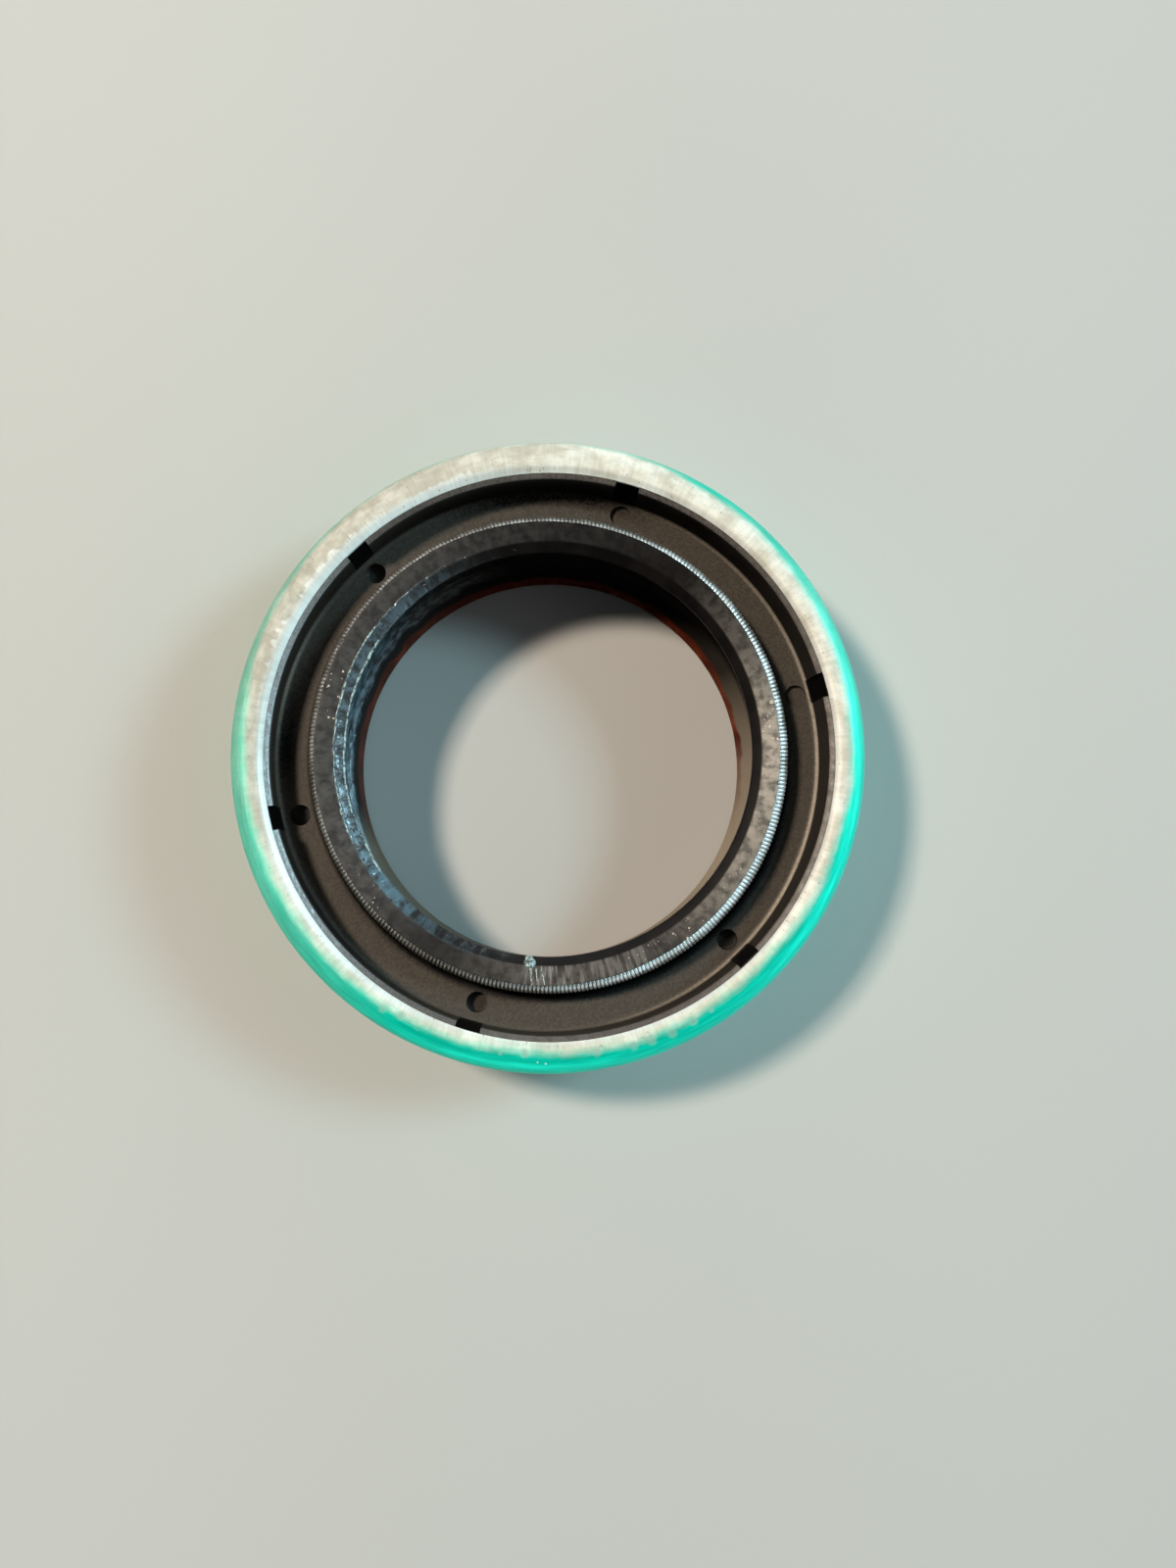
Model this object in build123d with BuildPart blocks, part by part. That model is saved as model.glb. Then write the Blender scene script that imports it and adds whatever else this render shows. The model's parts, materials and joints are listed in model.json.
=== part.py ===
"""Radial shaft seal for a 30 mm shaft in a 45 mm housing, 11 mm wide.

The seal has three pieces: a drawn steel case, a nitrile rubber sealing element that is
moulded and bonded into the case, and a garter spring that loads the main lip.

Millimetres. +Z runs along the shaft towards the oil side, where the spring sits. The
origin is the centre of the air-side face, on which the seal rests.
"""

from build123d import *

import os
from math import cos, radians, sin, tan

# ---------------------------------------------------------------------------
# Driving dimensions
# ---------------------------------------------------------------------------

# The three sizes by which a seal is ordered
shaft_diameter = 30.0
housing_diameter = 45.0
seal_width = 11.0

# Both lips are moulded smaller than the shaft, which stretches them
main_lip_interference = 1.2
dust_lip_interference = 0.7

# Steel case
sheet_thickness = 1.0
bend_radius = 1.6  # outside of the bends at the rim and at the flange
bend_limit = 0.9  # most of a narrow rim that its bend may take up
rim_share = 0.384  # part of the free width between lip and case that the rolled rim covers
rim_overbend = 10.0  # degrees that the rim is rolled past square, down to its edge

# Rubber wall and floor between the rim and the lip; depths are below the top of the rim
rim_skin = 0.37  # rubber over the cut edge of the rim
rim_skin_drop = 0.04  # top of that rubber, below the edge of the rim
floor_depth = 3.1
wall_draft = 0.05  # the wall leans in by this much from the rim to the floor
wall_foot_corner = 0.4

# Marks of the mould: lugs that centre the case, and pins that hold it
mark_count = 6
mark_angle = 13.8  # degrees from +X to the first mark
notch_length = 1.72
notch_foot_height = 0.3  # above the floor
lug_clearance = 0.05  # between the foot of a lug and the wall
dimple_depth = 0.8
shallow_dimple_depth = 0.4
shallow_count = 2  # the first pins are shorter than the others
dimple_share = 0.636  # diameter of a dimple as a part of the floor's width
dimple_place = 0.51  # centre of a dimple, as a part of the way from the moat to the wall

# Main lip; its radii are measured outwards from the sealing edge
lip_face_depth = 0.2  # outer edge of the lip's front face
lip_face_fall = 0.28  # the face slopes down by this much to its inner edge
lip_cone_width = 0.7
sealing_edge_depth = 0.95
contact_band = 0.3
air_side_angle = 25.0  # degrees from the shaft
cavity_depth = 1.6  # from the sealing edge out to the wall of the cavity
stem_thickness = 0.75  # the thin wall on which the lip flexes
moat_width = 0.5  # relief between the stem and the floor
moat_depth = 1.3  # below the floor
moat_corner = 0.2
moat_edge_round = 0.35
lip_edge_round = 0.1

# Garter spring
spring_distance = 1.85  # from the sealing edge out to the middle of the coil
spring_depth = 1.35
coil_diameter = 1.5
groove_clearance = 0.03
hook_overlap = 0.07  # the lip's face reaches this far past the middle of the coil

# Dust lip on the air side
dust_tip_height = 0.75  # above the air-side face
dust_tip_land = 0.2
dust_tip_thickness = 0.3
dust_knee_width = 1.1  # inside this knee the upper face lies flatter
dust_knee_rise = 0.86
dust_upper_angle = 20.0  # degrees from the shaft
dust_lower_angle = 48.0
dust_root_corner = 0.3

# Heel of rubber that covers the inner edge of the flange
heel_distance = 0.35  # from the wall of the cavity out to the heel
heel_width = 0.95
heel_recess = 0.12  # above the air-side face
heel_round = 0.25

# ---------------------------------------------------------------------------
# Sizes that follow from them: radii from the shaft's axis, heights from z = 0
# ---------------------------------------------------------------------------

outer_r = housing_diameter / 2
wall_inner_r = outer_r - sheet_thickness

sealing_r = (shaft_diameter - main_lip_interference) / 2
dust_r = (shaft_diameter - dust_lip_interference) / 2
lip_face_inner_r = sealing_r + lip_cone_width
cavity_r = sealing_r + cavity_depth
stem_outer_r = cavity_r + stem_thickness
moat_outer_r = stem_outer_r + moat_width
spring_r = sealing_r + spring_distance
lip_face_outer_r = spring_r + hook_overlap
groove_r = coil_diameter / 2 + groove_clearance

heel_r = cavity_r + heel_distance
flange_edge_r = heel_r + heel_width

# The rim and the floor share the width that the lip and the rubber wall leave free
free_width = wall_inner_r - moat_outer_r - rim_skin - wall_draft
rim_edge_r = wall_inner_r - rim_share * free_width
wall_top_r = rim_edge_r - rim_skin
wall_foot_r = wall_top_r - wall_draft
floor_width = wall_foot_r - moat_outer_r
dimple_diameter = dimple_share * floor_width
dimple_circle_r = moat_outer_r + dimple_place * floor_width

# The rim leans over an arc whose top is the highest line of the seal. The sharp corner of
# the sheet lies beyond the ends of the round on it by corner_reach times that round.
rim_lean = radians(rim_overbend)
corner_reach = tan((radians(90) + rim_lean) / 2)
rim_length = (outer_r - rim_edge_r) / cos(rim_lean)
rim_bend_radius = min(bend_radius, bend_limit * rim_length / corner_reach)
rim_inner_bend_radius = rim_bend_radius - sheet_thickness
rim_arc_z = seal_width - rim_bend_radius
rim_corner_z = rim_arc_z + rim_bend_radius * corner_reach
rim_inner_corner_z = rim_arc_z + rim_inner_bend_radius * corner_reach
rim_edge_z = rim_corner_z - (outer_r - rim_edge_r) * tan(rim_lean)
rim_cut_r = rim_edge_r + sheet_thickness * sin(rim_lean)
rim_cut_z = rim_edge_z - sheet_thickness * cos(rim_lean)
rim_skin_z = rim_edge_z - rim_skin_drop
rim_skin_outer_r = rim_edge_r + rim_skin_drop * tan(rim_lean)

floor_z = seal_width - floor_depth
moat_z = floor_z - moat_depth
lip_face_outer_z = seal_width - lip_face_depth
lip_face_inner_z = lip_face_outer_z - lip_face_fall
band_top_z = seal_width - sealing_edge_depth
band_bottom_z = band_top_z - contact_band
spring_z = seal_width - spring_depth
notch_foot_z = floor_z + notch_foot_height
lug_foot_r = wall_foot_r - lug_clearance
mark_pitch = 360 / mark_count

air_cone_end_z = band_bottom_z - cavity_depth / tan(radians(air_side_angle))
dust_land_top_z = dust_tip_height + dust_tip_land
dust_knee_r = dust_r + dust_knee_width
dust_knee_z = dust_land_top_z + dust_knee_rise
dust_upper_root_z = dust_knee_z + (cavity_r - dust_knee_r) / tan(radians(dust_upper_angle))
dust_toe_r = dust_r + dust_tip_thickness
dust_lower_root_z = dust_tip_height + (heel_r - dust_toe_r) / tan(radians(dust_lower_angle))

os.makedirs("parts", exist_ok=True)

# ---------------------------------------------------------------------------
# Steel case: one drawn sheet. Its wall is the press fit, its flange closes the air
# side, and its open end is rolled in over the rubber on the oil side, a little past square.
# ---------------------------------------------------------------------------

with BuildPart() as steel_case:
    with BuildSketch(Plane.XZ):
        with BuildLine():
            outer_skin = FilletPolyline(
                (rim_edge_r, rim_edge_z),
                (outer_r, rim_corner_z),
                (outer_r, 0),
                (flange_edge_r, 0),
                radius=[rim_bend_radius, bend_radius],
            )
            offset(outer_skin, amount=sheet_thickness, side=Side.RIGHT)
        make_face()
    revolve(axis=Axis.Z)
steel_case.part.label = "steel_case"
export_step(steel_case.part, "parts/steel_case.step")

# ---------------------------------------------------------------------------
# Rubber sealing element: one moulding that fills the case and carries both lips.
# Each corner of its half section is (radius, height) and the round on it.
# ---------------------------------------------------------------------------

seat_in_case = [
    ((flange_edge_r, sheet_thickness), 0),
    ((wall_inner_r, sheet_thickness), bend_radius - sheet_thickness),
    ((wall_inner_r, rim_inner_corner_z), rim_inner_bend_radius),
    ((rim_cut_r, rim_cut_z), 0),
]
wall_and_floor = [
    ((rim_skin_outer_r, rim_skin_z), 0),
    ((wall_top_r, rim_skin_z), lip_edge_round),
    ((wall_foot_r, floor_z), wall_foot_corner),
    ((moat_outer_r, floor_z), moat_edge_round),
    ((moat_outer_r, moat_z), moat_corner),
    ((stem_outer_r, moat_z), moat_corner),
]
main_lip = [
    ((stem_outer_r, spring_z), 0),
    ((lip_face_outer_r, spring_z), 0),
    ((lip_face_outer_r, lip_face_outer_z), lip_edge_round),
    ((lip_face_inner_r, lip_face_inner_z), lip_edge_round),
    ((sealing_r, band_top_z), 0),
    ((sealing_r, band_bottom_z), 0),
    ((cavity_r, air_cone_end_z), 0),
]
dust_lip = [
    ((cavity_r, dust_upper_root_z), dust_root_corner),
    ((dust_knee_r, dust_knee_z), dust_root_corner),
    ((dust_r, dust_land_top_z), 0),
    ((dust_r, dust_tip_height), 0),
    ((dust_toe_r, dust_tip_height), 0),
    ((heel_r, dust_lower_root_z), dust_root_corner),
]
heel = [
    ((heel_r, heel_recess), heel_round),
    ((flange_edge_r, heel_recess), 0),
]
section = seat_in_case + wall_and_floor + main_lip + dust_lip + heel

# A lug of the mould: its outer side bears on the cut edge of the rim and then leans in
# towards its foot, so that it draws out of the rubber
with BuildPart() as mould_lug:
    with BuildSketch(Plane.XZ):
        Polygon(
            (lug_foot_r, notch_foot_z),
            (rim_cut_r, rim_cut_z),
            (rim_cut_r, seal_width),
            (lug_foot_r, seal_width),
            align=None,
        )
    extrude(amount=notch_length / 2, both=True)

with BuildPart() as rubber_element:
    with BuildSketch(Plane.XZ):
        with BuildLine():
            FilletPolyline(
                [corner for corner, corner_round in section],
                radius=[corner_round for corner, corner_round in section],
                close=True,
            )
        make_face()
        with Locations((spring_r, spring_z)):
            Circle(groove_r, mode=Mode.SUBTRACT)
    revolve(axis=Axis.Z)

    # Six notches bare the edge of the rim where lugs of the mould centred the case
    with PolarLocations(0, mark_count, start_angle=mark_angle):
        add(mould_lug.part, mode=Mode.SUBTRACT)

    # Six blind dimples in the floor, in line with the notches
    for first_mark, count, depth in [
        (0, shallow_count, shallow_dimple_depth),
        (shallow_count, mark_count - shallow_count, dimple_depth),
    ]:
        with BuildSketch(Plane.XY.offset(floor_z)):
            with PolarLocations(
                dimple_circle_r,
                count,
                start_angle=mark_angle + first_mark * mark_pitch,
                angular_range=count * mark_pitch,
            ):
                Circle(dimple_diameter / 2)
        extrude(amount=-depth, mode=Mode.SUBTRACT)
rubber_element.part.label = "rubber_element"
export_step(rubber_element.part, "parts/rubber_element.step")

# ---------------------------------------------------------------------------
# Garter spring: a close-wound coil whose ends are joined into a ring. The ring has
# the coil's outside diameter; its turns are as fine as a thread.
# ---------------------------------------------------------------------------

with BuildPart() as garter_spring:
    with BuildSketch(Plane.XZ):
        with Locations((spring_r, spring_z)):
            Circle(coil_diameter / 2)
    revolve(axis=Axis.Z)
garter_spring.part.label = "garter_spring"
export_step(garter_spring.part, "parts/garter_spring.step")
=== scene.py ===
# %% [markdown]
# # Radial shaft seal
# A radial shaft seal keeps the oil in a housing where a shaft comes out of it. It is made of
# three pieces: a drawn steel case that is pressed into the bore, a black rubber element that
# is moulded into the case and carries the lips, and a garter spring that hugs the main lip.
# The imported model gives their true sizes. Each piece is modelled again here, finer than the
# solids are, and stands exactly where its solid stands.

# %% Load the frame
import json
import math
import random

import bmesh
import bpy
from mathutils import Matrix, Vector


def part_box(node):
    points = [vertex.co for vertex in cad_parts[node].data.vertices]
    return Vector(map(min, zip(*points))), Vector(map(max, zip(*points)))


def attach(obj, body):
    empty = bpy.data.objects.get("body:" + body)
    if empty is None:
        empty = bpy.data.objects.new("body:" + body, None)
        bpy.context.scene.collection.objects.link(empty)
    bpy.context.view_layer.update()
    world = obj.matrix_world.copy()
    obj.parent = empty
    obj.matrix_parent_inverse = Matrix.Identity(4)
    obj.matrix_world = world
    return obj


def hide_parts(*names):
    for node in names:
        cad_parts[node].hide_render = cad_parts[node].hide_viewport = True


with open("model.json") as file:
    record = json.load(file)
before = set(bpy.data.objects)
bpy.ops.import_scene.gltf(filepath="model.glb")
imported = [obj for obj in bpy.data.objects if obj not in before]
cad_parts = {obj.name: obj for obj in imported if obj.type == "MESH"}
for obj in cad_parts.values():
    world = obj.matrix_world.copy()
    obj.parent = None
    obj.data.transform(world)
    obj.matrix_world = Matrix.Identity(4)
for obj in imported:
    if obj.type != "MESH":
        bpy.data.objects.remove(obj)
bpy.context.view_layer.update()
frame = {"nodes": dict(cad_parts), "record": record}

print("CAD nodes:", sorted(frame["nodes"]))

# %% [markdown]
# ## Sizes
# What the frame can say is read from it: the boxes of the three solids, and the radius of
# the sealing edge, which is the record's bore mount. The rest of the section is written in
# millimetres under the names that a seal maker uses. Blender counts in metres, so each size
# is multiplied by MM where it is used.

# %% Read the main sizes from the frame
MM = 0.001

case_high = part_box("steel_case")[1]
rubber_low, rubber_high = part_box("rubber_element")
spring_low, spring_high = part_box("garter_spring")
mounts = {mount["name"]: mount for mount in frame["record"]["mounts"]}

outer_r = case_high.x / MM
seal_width = round(case_high.z / MM, 2)
wall_inner_r = rubber_high.x / MM
heel_recess = rubber_low.z / MM
coil_diameter = (spring_high.z - spring_low.z) / MM
spring_r = spring_high.x / MM - coil_diameter / 2
spring_z = (spring_high.z + spring_low.z) / 2 / MM
sealing_r = mounts["shaft_bore"]["dims"]["r_mm"]
sheet_thickness = outer_r - wall_inner_r
print(f"case {2 * outer_r:.1f} mm wide, {seal_width:.1f} mm high; lip at r {sealing_r:.2f} mm")

# %% [markdown]
# The boxes don't hold the corners of the section. Sizes written out as numbers below are
# chosen for this seal, and the others follow from them. The sharp corner of the bent sheet
# lies beyond the ends of the round on it by `corner_reach` times that round. The shear that
# cut the sheet rolled the rim's edge down: the roll starts `roll_width` from the edge, and
# ends `roll_depth` down the cut.

# %% Name the sizes of the section that the boxes don't hold
bend_radius = 1.6
rim_edge_r = 20.03
rim_lean = math.radians(10)  # the rim is rolled this far past square
corner_reach = math.tan((math.pi / 2 + rim_lean) / 2)
rim_corner_z = seal_width - bend_radius + bend_radius * corner_reach
rim_inner_corner_z = rim_corner_z - sheet_thickness * corner_reach
rim_edge_z = rim_corner_z - (outer_r - rim_edge_r) * math.tan(rim_lean)
rim_cut_r = rim_edge_r + sheet_thickness * math.sin(rim_lean)
rim_cut_z = rim_edge_z - sheet_thickness * math.cos(rim_lean)
roll_width = 0.38
roll_depth = 0.2
roll_top_r = rim_edge_r + roll_width * math.cos(rim_lean)
roll_top_z = rim_edge_z + roll_width * math.sin(rim_lean)
roll_foot_r = rim_edge_r + roll_depth * math.sin(rim_lean)
roll_foot_z = rim_edge_z - roll_depth * math.cos(rim_lean)
skin_z = roll_foot_z - 0.02

rim_skin = 0.37
wall_draft = 0.05
wall_foot_corner = 0.4
floor_depth = 3.1
wall_top_r = rim_edge_r - rim_skin
wall_foot_r = wall_top_r - wall_draft
floor_z = seal_width - floor_depth

stem_inner_r = sealing_r + 1.6
stem_outer_r = stem_inner_r + 0.75
moat_outer_r = stem_outer_r + 0.5
moat_z = floor_z - 1.3
lip_face_outer_r = spring_r + 0.13
lip_face_outer_z = seal_width - 0.2
lip_face_inner_z = seal_width - 0.48
lip_face_inner_r = sealing_r + 0.7
band_top_z = seal_width - 0.95
band_bottom_z = band_top_z - 0.3
air_cone_end_z = 6.319
groove_r = coil_diameter / 2 + 0.03

dust_r = 14.65
dust_toe_r = dust_r + 0.3
dust_tip_z = 0.75
dust_land_z = dust_tip_z + 0.2
dust_knee_r = dust_r + 1.1  # inside this knee the dust lip's upper face lies flatter
dust_knee_z = dust_land_z + 0.86
dust_upper_root_z = 2.497
dust_lower_root_z = 2.011
heel_r = stem_inner_r + 0.35
flange_edge_r = heel_r + 0.95

mark_count = 6
mark_angle = 13.8
notch_length = 1.72
notch_foot_z = floor_z + 0.3
lug_foot_r = wall_foot_r - 0.05
pin_depths = [0.4, 0.4, 0.8, 0.8, 0.8, 0.8]  # two pins were shorter than the others
dimple_diameter = 1.5
dimple_circle_r = 18.45

# %% [markdown]
# ## Working habits
# Blender's operators act on whatever is selected, and loading the frame leaves its nodes
# selected. So every new piece starts with nothing selected. Faces and edges are picked in
# code by their place, here by their radius from the shaft's axis and their height.

# %% Helpers for picking and for edit mode
def deselect_everything():
    bpy.ops.object.select_all(action="DESELECT")


def make_active(piece):
    deselect_everything()
    piece.select_set(True)
    bpy.context.view_layer.objects.active = piece


def radius_and_height(point):
    """Radius from the shaft's axis and height of a point of a mesh, in millimetres."""
    return math.hypot(point.x, point.y) / MM, point.z / MM


def select_edges(piece, wanted):
    """In edit mode, selects the edges whose two ends both pass the test wanted(radius, height)."""
    mesh = bmesh.from_edit_mesh(piece.data)
    bpy.ops.mesh.select_all(action="DESELECT")
    for edge in mesh.edges:
        if all(wanted(*radius_and_height(corner.co)) for corner in edge.verts):
            edge.select = True
    mesh.select_flush_mode()
    bmesh.update_edit_mesh(piece.data)


# %% [markdown]
# ## Turned rings
# Almost everything on a seal is turned about the shaft's axis. By hand one would add a
# circle, extrude it to the next corner of the section, scale it to that corner's radius, and
# go on round the section, then bridge the last loop to the first. The round corners are
# bevelled afterwards, one loop at a time, because a bevel keeps the faces on both sides
# true. A Screw or Spin of a drawn profile gives the same ring, but its corners can't be
# bevelled by name. The tools that the pieces share, for shading, nudging, cutting and
# copying, are defined here too.

# %% A ring from its half section
facets_around = 480
same_place = 0.004  # mm
degrees_per_facet = 8  # on a round of 1 mm; smaller rounds get fewer facets


def turn_ring(name, corners):
    """Turns a closed half section, a list of (radius, height, round) in mm, into a ring."""
    deselect_everything()
    start_r, start_z, _ = corners[0]
    bpy.ops.mesh.primitive_circle_add(
        vertices=facets_around, radius=start_r * MM, location=(0, 0, start_z * MM)
    )
    ring = bpy.context.object
    ring.name = name
    bpy.ops.object.transform_apply(location=True)
    bpy.ops.object.mode_set(mode="EDIT")
    bpy.ops.mesh.select_mode(type="EDGE")
    bpy.ops.mesh.select_all(action="SELECT")
    for (from_r, from_z, _), (to_r, to_z, _) in zip(corners, corners[1:]):
        rise = (0, 0, (to_z - from_z) * MM)
        bpy.ops.mesh.extrude_region_move(TRANSFORM_OT_translate={"value": rise})
        grow = to_r / from_r
        bpy.ops.transform.resize(value=(grow, grow, 1), center_override=(0, 0, 0))
    bpy.ops.mesh.select_all(action="DESELECT")
    bpy.ops.mesh.select_non_manifold()
    bpy.ops.mesh.bridge_edge_loops()
    for index, (r, z, corner_round) in enumerate(corners):
        if corner_round:
            after = corners[(index + 1) % len(corners)]
            round_loop(ring, (r, z), corners[index - 1], after, corner_round)
    bpy.ops.mesh.select_all(action="SELECT")
    bpy.ops.mesh.normals_make_consistent(inside=False)
    bpy.ops.object.mode_set(mode="OBJECT")
    print(f"{name}: {len(ring.data.polygons)} faces")
    return ring


def round_loop(ring, corner, before, after, corner_round):
    """Bevels the loop of edges at one corner of the section into an arc of that radius."""
    into = math.atan2(corner[1] - before[1], corner[0] - before[0])
    out = math.atan2(after[1] - corner[1], after[0] - corner[0])
    turn = abs((out - into + math.pi) % math.tau - math.pi)
    select_edges(ring, lambda r, z: math.dist((r, z), corner) < same_place)
    segments = max(3, round(math.degrees(turn) * math.sqrt(corner_round) / degrees_per_facet))
    reach = corner_round * math.tan(turn / 2) * MM
    bpy.ops.mesh.bevel(offset=reach, offset_type="OFFSET", segments=segments, affect="EDGES")


def shade(piece, sharpest=35):
    """Smooth shading with creases where faces meet at more than these degrees. Large faces stay flat."""
    make_active(piece)
    bpy.ops.object.shade_smooth_by_angle(angle=math.radians(sharpest))
    weigh = piece.modifiers.new("weigh", "WEIGHTED_NORMAL")
    weigh.keep_sharp = True
    bpy.ops.object.modifier_apply(modifier=weigh.name)


def nudge(piece, wanted, shift, reach=0):
    """Moves the points that pass the test wanted(radius, height) by a shift in mm.

    Points within reach, in mm, of one that moves follow it in part.
    """
    make_active(piece)
    bpy.ops.object.mode_set(mode="EDIT")
    select_edges(piece, wanted)
    bpy.ops.transform.translate(
        value=Vector(shift) * MM, proportional_size=max(reach, 1) * MM, proportional_edit_falloff="SMOOTH",
        use_proportional_edit=reach > 0, use_proportional_connected=True,
    )
    bpy.ops.object.mode_set(mode="OBJECT")


def cut_away(piece, cutter):
    """Takes the cutter's volume out of the piece and deletes the cutter."""
    make_active(piece)
    cut = piece.modifiers.new("cut", "BOOLEAN")
    cut.operation = "DIFFERENCE"
    cut.solver = "EXACT"
    cut.object = cutter
    bpy.ops.object.modifier_apply(modifier=cut.name)
    bpy.data.objects.remove(cutter)
    print(f"{piece.name} after the cut: {len(piece.data.polygons)} faces")


def copy_of(piece, placement):
    """A copy of the piece with its own mesh, moved by a matrix."""
    each = piece.copy()
    each.data = piece.data.copy()
    each.data.transform(placement)
    bpy.context.scene.collection.objects.link(each)
    return each


def join(pieces, name):
    """Joins pieces into the first one."""
    deselect_everything()
    for piece in pieces:
        piece.select_set(True)
    bpy.context.view_layer.objects.active = pieces[0]
    bpy.ops.object.join()
    pieces[0].name = name
    return pieces[0]


# %% [markdown]
# ## Steel case
# The case is one sheet of steel, 1 mm thick, drawn into a cup. Its bottom is pierced for
# the shaft and its mouth is rolled in over the rubber. The shear that cut the rim's inner
# edge left it rolled down a little, which is why that edge catches the light in a narrow
# bright band. Turning it as a ring keeps the sheet's thickness everywhere.

# %% Turn the case
edge_round = 0.1
inner_bend_radius = bend_radius - sheet_thickness
case_corners = [
    (flange_edge_r, sheet_thickness, 0),
    (flange_edge_r, 0, edge_round),
    (outer_r, 0, bend_radius),
    (outer_r, rim_corner_z, bend_radius),
    (roll_top_r, roll_top_z, 0.6),
    (roll_foot_r, roll_foot_z, 0.05),
    (rim_cut_r, rim_cut_z, 0),
    (wall_inner_r, rim_inner_corner_z, inner_bend_radius),
    (wall_inner_r, sheet_thickness, inner_bend_radius),
]
case_shell = turn_ring("case_shell", case_corners)

# %% [markdown]
# A rim that is rolled in a press never runs quite true: its opening stands a tenth of a
# millimetre to one side. The points near the inner edge are nudged there with proportional
# editing, so that the flat of the rim follows them softly, and the rubber that the rim was
# moulded with does so further down.

# %% Set the rim's opening off centre
rim_shift = (0.1, -0.1, 0)
nudge(case_shell, lambda r, z: r < rim_cut_r + 0.1 and z > rim_cut_z - 0.1, rim_shift, reach=1.4)

# %% [markdown]
# Handling has left a few small nicks in the rim. Each is cut by a little ball, flattened as
# a knock would be, that dips into the rim by a part of its size. A nick is given by its
# azimuth in degrees, its radius and its size in mm.

# %% Nick the rim
nicks = [(27, 20.02, 0.16), (36.5, 20.1, 0.22), (41, 20.0, 0.14), (124, 20.05, 0.2), (231, 20.4, 0.13),
         (280, 20.75, 0.2), (284, 20.5, 0.12), (288, 20.9, 0.15), (312, 20.3, 0.1)]
knock_shape = (1, 0.7, 0.5)
knock_rise = 0.12  # of its middle over the rim's top, as a part of its size
deselect_everything()
bpy.ops.mesh.primitive_ico_sphere_add(subdivisions=3, radius=MM)
knock = bpy.context.object
knock_copies = []
for azimuth, r, size in nicks:
    turn = Matrix.Rotation(math.radians(azimuth), 4, "Z")
    place = Matrix.Translation(Vector((r, 0, seal_width + size * knock_rise)) * MM)
    flatten = Matrix.Diagonal((*(size * side for side in knock_shape), 1))
    knock_copies.append(copy_of(knock, turn @ place @ flatten))
bpy.data.objects.remove(knock)
cut_away(case_shell, join(knock_copies, "knocks"))
shade(case_shell)

# %% [markdown]
# ## Rubber sealing element
# The rubber is moulded into the case in one shot. Its section goes down the wall inside the
# rim, across the floor, into the moat that lets the lip flex, up the stem to the groove of
# the spring, over the main lip, down the air side to the dust lip, and out round the heel.
# The ring is turned like the case. The groove is then cut with a torus, as the spring
# itself shaped it in the mould.

# %% Turn the rubber
skin_round = 0.24
skin_fall = 0.14  # the top of the skin slopes down towards the wall
rubber_corners = [
    (flange_edge_r, sheet_thickness, 0),
    (wall_inner_r, sheet_thickness, inner_bend_radius),
    (wall_inner_r, rim_inner_corner_z, inner_bend_radius),
    (rim_cut_r, rim_cut_z, 0),
    (roll_foot_r, skin_z, 0),
    (wall_top_r, skin_z - skin_fall, skin_round),
    (wall_foot_r, floor_z, wall_foot_corner),
    (moat_outer_r, floor_z, 0.35),
    (moat_outer_r, moat_z, 0.2),
    (stem_outer_r, moat_z, 0.2),
    (stem_outer_r, spring_z, 0),
    (lip_face_outer_r, spring_z, 0),
    (lip_face_outer_r, lip_face_outer_z, edge_round),
    (lip_face_inner_r, lip_face_inner_z, 0.15),
    (sealing_r, band_top_z, 0.12),
    (sealing_r, band_bottom_z, 0),
    (stem_inner_r, air_cone_end_z, 0),
    (stem_inner_r, dust_upper_root_z, 0.3),
    (dust_knee_r, dust_knee_z, 0.3),
    (dust_r, dust_land_z, 0),
    (dust_r, dust_tip_z, 0),
    (dust_toe_r, dust_tip_z, 0),
    (heel_r, dust_lower_root_z, 0.3),
    (heel_r, heel_recess, 0.25),
    (flange_edge_r, heel_recess, 0),
]
sealing_rubber = turn_ring("sealing_rubber", rubber_corners)

# %% [markdown]
# Rubber gives, so the lips aren't quite round the case's axis either. The main lip, with
# its groove and its spring, stands a little to one side, its hook over the spring is pressed
# over a little more, and the thin dust lip stands a little more to the other. The skin on the
# rim's edge follows the rim, and the foot of the wall doesn't.

# %% Set the skin and the lips off centre
lip_shift = (0, 0.03, 0)
hook_shift = (-0.12, 0.03, 0)
dust_lip_shift = (0, -0.33, 0)
foot_shift = (-0.12, -0.17, 0)
nudges = [
    (lambda r, z: wall_foot_r - 0.2 < r < rim_cut_r + 0.1 and z > rim_cut_z - 0.1, rim_shift),
    (lambda r, z: wall_foot_r - 0.6 < r < wall_foot_r + 0.1 and abs(z - floor_z) < 0.6, foot_shift),
    (lambda r, z: sealing_r + 0.4 < r < stem_outer_r + 0.1 and z > air_cone_end_z + 0.5, lip_shift),
    (lambda r, z: abs(r - lip_face_outer_r) < 0.2 and z > lip_face_outer_z - 0.15, hook_shift),
    (lambda r, z: r < dust_toe_r + 0.1 and z < dust_land_z + 0.1, dust_lip_shift),
]
for wanted, shift in nudges:
    nudge(sealing_rubber, wanted, shift)

# %% [markdown]
# The mould held the case by six lugs, which left notches in the rubber at the rim, and by
# six pins, which left blind dimples in the floor. The groove follows the shifted lip.

# %% Cut the groove
spring_middle = Vector((*lip_shift[:2], spring_z)) * MM
deselect_everything()
bpy.ops.mesh.primitive_torus_add(
    major_radius=spring_r * MM, minor_radius=groove_r * MM, location=spring_middle,
    major_segments=facets_around, minor_segments=40,
)
groove_cutter = bpy.context.object
bpy.ops.object.transform_apply(location=True)
cut_away(sealing_rubber, groove_cutter)

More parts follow.
